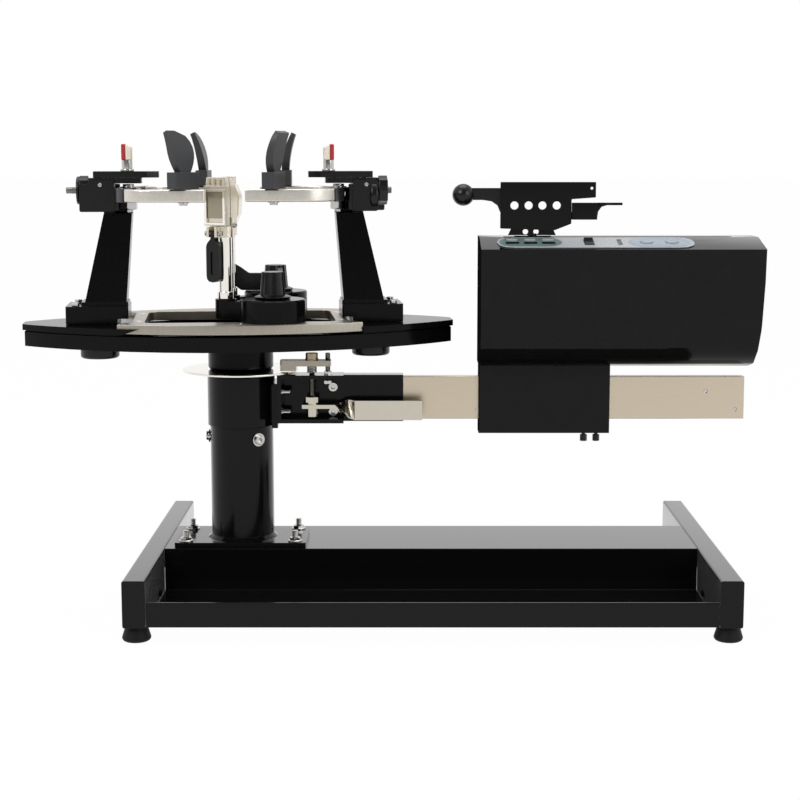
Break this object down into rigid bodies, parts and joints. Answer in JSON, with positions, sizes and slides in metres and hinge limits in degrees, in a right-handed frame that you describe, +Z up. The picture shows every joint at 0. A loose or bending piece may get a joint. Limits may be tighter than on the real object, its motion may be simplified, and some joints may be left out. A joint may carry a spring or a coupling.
{
  "type": "racket stringing machine",
  "caption": "Electric racket stringing machine: braked turntable with racket supports and string clamps on a column, and a tension head that slides on a rail.",
  "frame": {"origin": "on the ground, under the middle of the machine's bounding box", "axes": "+X from the turntable along the rail towards the tension head, +Y to the rear, +Z up"},
  "size_m": [0.8256, 0.414, 0.5358],
  "materials": {
    "black_paint": "smooth black powder coat",
    "black_gloss": "high gloss black",
    "black_plastic": "satin black moulding",
    "black_rubber": "matte rubber",
    "dark_nylon": "matte dark grey nylon",
    "cast_aluminium": "satin machined casting",
    "brushed_steel": "brushed along its length",
    "polished_steel": "polished",
    "white_pad": "matte off-white",
    "membrane": "satin printed film"
  },
  "bodies": {
    "frame": {"side_beam_left": "black_paint", "side_beam_right": "black_paint", "foot_front_left": "black_rubber", "foot_front_right": "black_rubber", "foot_rear_left": "black_rubber", "foot_rear_right": "black_rubber", "deck": "black_paint", "column": "black_paint", "column_head": "black_paint", "spindle_bearing": "polished_steel", "rail_bracket": "black_paint", "rail": "brushed_steel"},
    "brake_plate": {"brake_plate": "brushed_steel"},
    "brake_lever": {"brake_lever": "polished_steel"},
    "turntable": {"turntable": "black_paint", "glide_ring": "cast_aluminium", "hub": "black_paint", "brake_disc": "polished_steel"},
    "tower_left": {"tower_left": "black_paint", "tower_head_left": "black_plastic"},
    "tower_lock_left": {"tower_lock_left": "black_plastic"},
    "pole_knob_left": {"pole_knob_left": "black_plastic"},
    "pole_support_left": {"pole_support_left": "white_pad"},
    "arm_left": {"arm_left": "cast_aluminium"},
    "hook_front_left": {"hook_front_left": "dark_nylon"},
    "hook_rear_left": {"hook_rear_left": "dark_nylon"},
    "tower_right": {"tower_right": "black_paint", "tower_head_right": "black_plastic"},
    "tower_lock_right": {"tower_lock_right": "black_plastic"},
    "pole_knob_right": {"pole_knob_right": "black_plastic"},
    "pole_support_right": {"pole_support_right": "white_pad"},
    "arm_right": {"arm_right": "cast_aluminium"},
    "hook_front_right": {"hook_front_right": "dark_nylon"},
    "hook_rear_right": {"hook_rear_right": "dark_nylon"},
    "clamp_shoe_front": {"clamp_shoe_front": "brushed_steel"},
    "clamp_base_front": {"clamp_base_front": "black_paint"},
    "base_knob_front": {"base_knob_front": "black_plastic"},
    "clamp_post_front": {"clamp_post_front": "polished_steel"},
    "clamp_body_front": {"clamp_body_front": "cast_aluminium"},
    "clamp_jaw_front": {"clamp_jaw_front": "cast_aluminium"},
    "clamp_handle_front": {"clamp_handle_front": "black_plastic"},
    "clamp_shoe_rear": {"clamp_shoe_rear": "brushed_steel"},
    "clamp_base_rear": {"clamp_base_rear": "black_paint"},
    "base_knob_rear": {"base_knob_rear": "black_plastic"},
    "clamp_post_rear": {"clamp_post_rear": "polished_steel"},
    "clamp_body_rear": {"clamp_body_rear": "cast_aluminium"},
    "clamp_jaw_rear": {"clamp_jaw_rear": "cast_aluminium"},
    "clamp_handle_rear": {"clamp_handle_rear": "black_plastic"},
    "tension_head": {"head_cover": "black_gloss", "control_panel": "membrane"},
    "key_down": {"key_down": "membrane"},
    "key_up": {"key_up": "membrane"},
    "power_switch": {"power_switch": "black_plastic"},
    "carriage": {"carriage": "black_paint"},
    "gripper": {"gripper_body": "black_paint"},
    "gripper_jaw": {"gripper_jaw": "black_paint"},
    "gripper_lever": {"gripper_lever": "black_plastic"},
    "thumb_screw_1": {"thumb_screw_1": "black_plastic"},
    "thumb_screw_2": {"thumb_screw_2": "black_plastic"}
  },
  "joints": [
    {"name": "turntable_spin", "type": "hinge", "parent": "frame", "child": "turntable", "pos_m": [-0.17113, -0.0175, 0.264], "axis": [0, 0, 1], "continuous": true},
    {"name": "brake_lever_turn", "type": "hinge", "parent": "frame", "child": "brake_lever", "pos_m": [-0.08873, -0.0455, 0.23], "axis": [0, 0, 1], "range_deg": [-60, 0]},
    {"name": "brake_plate_draw", "type": "slide", "parent": "frame", "child": "brake_plate", "axis": [0, 0, -1], "range_m": [0, 0.0012]},
    {"name": "tower_left_slide", "type": "slide", "parent": "turntable", "child": "tower_left", "axis": [-0.9945, -0.1045, 0], "range_m": [0, 0.03]},
    {"name": "tower_lock_left_turn", "type": "hinge", "parent": "tower_left", "child": "tower_lock_left", "pos_m": [-0.32826, -0.03401, 0.3], "axis": [0, 0, 1], "continuous": true},
    {"name": "arm_left_swivel", "type": "hinge", "parent": "tower_left", "child": "arm_left", "pos_m": [-0.29246, -0.03025, 0.467], "axis": [0, 0, 1], "range_deg": [-8, 8]},
    {"name": "hook_front_left_swivel", "type": "hinge", "parent": "arm_left", "child": "hook_front_left", "pos_m": [-0.21946, -0.12225, 0.474], "axis": [0, 0, 1], "range_deg": [-30, 30]},
    {"name": "hook_rear_left_swivel", "type": "hinge", "parent": "arm_left", "child": "hook_rear_left", "pos_m": [-0.21946, 0.06175, 0.474], "axis": [0, 0, 1], "range_deg": [-30, 30]},
    {"name": "pole_support_left_slide", "type": "slide", "parent": "tower_left", "child": "pole_support_left", "axis": [-0.9945, -0.1045, 0], "range_m": [-0.006, 0.006]},
    {"name": "pole_knob_left_turn", "type": "hinge", "parent": "tower_left", "child": "pole_knob_left", "pos_m": [-0.33705, -0.0269, 0.4707], "axis": [-0.9945, -0.1045, 0], "range_deg": [-540, 540]},
    {"name": "tower_right_slide", "type": "slide", "parent": "turntable", "child": "tower_right", "axis": [0.9945, 0.1045, 0], "range_m": [0, 0.03]},
    {"name": "tower_lock_right_turn", "type": "hinge", "parent": "tower_right", "child": "tower_lock_right", "pos_m": [-0.02344, -0.00198, 0.3], "axis": [0, 0, 1], "continuous": true},
    {"name": "arm_right_swivel", "type": "hinge", "parent": "tower_right", "child": "arm_right", "pos_m": [-0.05924, -0.00574, 0.467], "axis": [0, 0, 1], "range_deg": [-8, 8]},
    {"name": "hook_front_right_swivel", "type": "hinge", "parent": "arm_right", "child": "hook_front_right", "pos_m": [-0.12524, -0.09774, 0.474], "axis": [0, 0, 1], "range_deg": [-30, 30]},
    {"name": "hook_rear_right_swivel", "type": "hinge", "parent": "arm_right", "child": "hook_rear_right", "pos_m": [-0.12524, 0.08626, 0.474], "axis": [0, 0, 1], "range_deg": [-30, 30]},
    {"name": "pole_support_right_slide", "type": "slide", "parent": "tower_right", "child": "pole_support_right", "axis": [0.9945, 0.1045, 0], "range_m": [-0.006, 0.006]},
    {"name": "pole_knob_right_turn", "type": "hinge", "parent": "tower_right", "child": "pole_knob_right", "pos_m": [-0.01465, -0.0091, 0.4707], "axis": [0.9945, 0.1045, 0], "range_deg": [-540, 540]},
    {"name": "clamp_shoe_front_glide", "type": "slide", "parent": "turntable", "child": "clamp_shoe_front", "axis": [0.9945, 0.1045, 0], "range_m": [-0.045, 0.02]},
    {"name": "clamp_base_front_swing", "type": "hinge", "parent": "clamp_shoe_front", "child": "clamp_base_front", "pos_m": [-0.12955, -0.07346, 0.3286], "axis": [0, 0, 1], "range_deg": [-18, 20]},
    {"name": "base_knob_front_turn", "type": "hinge", "parent": "clamp_base_front", "child": "base_knob_front", "pos_m": [-0.12955, -0.07346, 0.3536], "axis": [0, 0, 1], "range_deg": [-60, 60]},
    {"name": "clamp_post_front_lift", "type": "slide", "parent": "clamp_base_front", "child": "clamp_post_front", "axis": [0, 0, 1], "range_m": [0, 0.012]},
    {"name": "clamp_body_front_turn", "type": "hinge", "parent": "clamp_post_front", "child": "clamp_body_front", "pos_m": [-0.18411, -0.04297, 0.4286], "axis": [0, 0, 1], "continuous": true},
    {"name": "clamp_jaw_front_close", "type": "slide", "parent": "clamp_body_front", "child": "clamp_jaw_front", "axis": [0.454, 0.891, 0], "range_m": [0, 0.0007]},
    {"name": "clamp_handle_front_swing", "type": "hinge", "parent": "clamp_body_front", "child": "clamp_handle_front", "pos_m": [-0.19603, -0.05205, 0.4239], "axis": [-0.891, 0.454, 0], "range_deg": [0, 60]},
    {"name": "clamp_shoe_rear_glide", "type": "slide", "parent": "turntable", "child": "clamp_shoe_rear", "axis": [0.9945, 0.1045, 0], "range_m": [-0.045, 0.025]},
    {"name": "clamp_base_rear_swing", "type": "hinge", "parent": "clamp_shoe_rear", "child": "clamp_base_rear", "pos_m": [-0.13511, 0.04259, 0.3286], "axis": [0, 0, 1], "range_deg": [-20, 25]},
    {"name": "base_knob_rear_turn", "type": "hinge", "parent": "clamp_base_rear", "child": "base_knob_rear", "pos_m": [-0.13511, 0.04259, 0.3536], "axis": [0, 0, 1], "range_deg": [-60, 60]},
    {"name": "clamp_post_rear_lift", "type": "slide", "parent": "clamp_base_rear", "child": "clamp_post_rear", "axis": [0, 0, 1], "range_m": [0, 0.012]},
    {"name": "clamp_body_rear_turn", "type": "hinge", "parent": "clamp_post_rear", "child": "clamp_body_rear", "pos_m": [-0.18568, 0.00586, 0.4286], "axis": [0, 0, 1], "continuous": true},
    {"name": "clamp_jaw_rear_close", "type": "slide", "parent": "clamp_body_rear", "child": "clamp_jaw_rear", "axis": [0.9994, -0.0349, 0], "range_m": [0, 0.0007]},
    {"name": "clamp_handle_rear_swing", "type": "hinge", "parent": "clamp_body_rear", "child": "clamp_handle_rear", "pos_m": [-0.19894, 0.01282, 0.4239], "axis": [0.0349, 0.9994, 0], "range_deg": [0, 60]},
    {"name": "head_slide", "type": "slide", "parent": "frame", "child": "tension_head", "axis": [1, 0, 0], "range_m": [-0.012, 0.15]},
    {"name": "key_down_press", "type": "slide", "parent": "tension_head", "child": "key_down", "axis": [0, 0.2149, -0.9766], "range_m": [0, 0.0008], "stiffness_N_per_m": 500, "springref_m": -0.0008},
    {"name": "key_up_press", "type": "slide", "parent": "tension_head", "child": "key_up", "axis": [0, 0.2149, -0.9766], "range_m": [0, 0.0008], "stiffness_N_per_m": 500, "springref_m": -0.0008},
    {"name": "power_switch_rock", "type": "hinge", "parent": "tension_head", "child": "power_switch", "pos_m": [0.21987, -0.0505, 0.4134], "axis": [1, 0, 0], "range_deg": [-6, 0]},
    {"name": "carriage_pull", "type": "slide", "parent": "tension_head", "child": "carriage", "axis": [1, 0, 0], "range_m": [0, 0.185]},
    {"name": "gripper_swivel", "type": "hinge", "parent": "carriage", "child": "gripper", "pos_m": [0.15937, -0.0155, 0.43], "axis": [0, 0, 1], "range_deg": [-20, 20]},
    {"name": "gripper_jaw_close", "type": "slide", "parent": "gripper", "child": "gripper_jaw", "axis": [0, -1, 0], "range_m": [-0.0011, 0.0018]},
    {"name": "gripper_lever_turn", "type": "hinge", "parent": "gripper", "child": "gripper_lever", "pos_m": [0.12837, -0.0175, 0.452], "axis": [0, 1, 0], "range_deg": [-13, 20]},
    {"name": "thumb_screw_1_turn", "type": "hinge", "parent": "tension_head", "child": "thumb_screw_1", "pos_m": [0.22027, -0.0175, 0.19], "axis": [0, 0, 1], "continuous": true},
    {"name": "thumb_screw_2_turn", "type": "hinge", "parent": "tension_head", "child": "thumb_screw_2", "pos_m": [0.23457, -0.0175, 0.19], "axis": [0, 0, 1], "continuous": true}
  ],
  "couplings": [
    {"joint": "brake_plate_draw", "follows": "brake_lever_turn", "m_per_rad": -0.0011459},
    {"joint": "pole_knob_left_turn", "follows": "pole_support_left_slide", "rad_per_m": 1570.8},
    {"joint": "pole_knob_right_turn", "follows": "pole_support_right_slide", "rad_per_m": 1570.8},
    {"joint": "clamp_handle_front_swing", "follows": "clamp_jaw_front_close", "rad_per_m": 1495.9},
    {"joint": "clamp_handle_rear_swing", "follows": "clamp_jaw_rear_close", "rad_per_m": 1495.9},
    {"joint": "gripper_lever_turn", "follows": "gripper_jaw_close", "rad_per_m": 193.92}
  ]
}
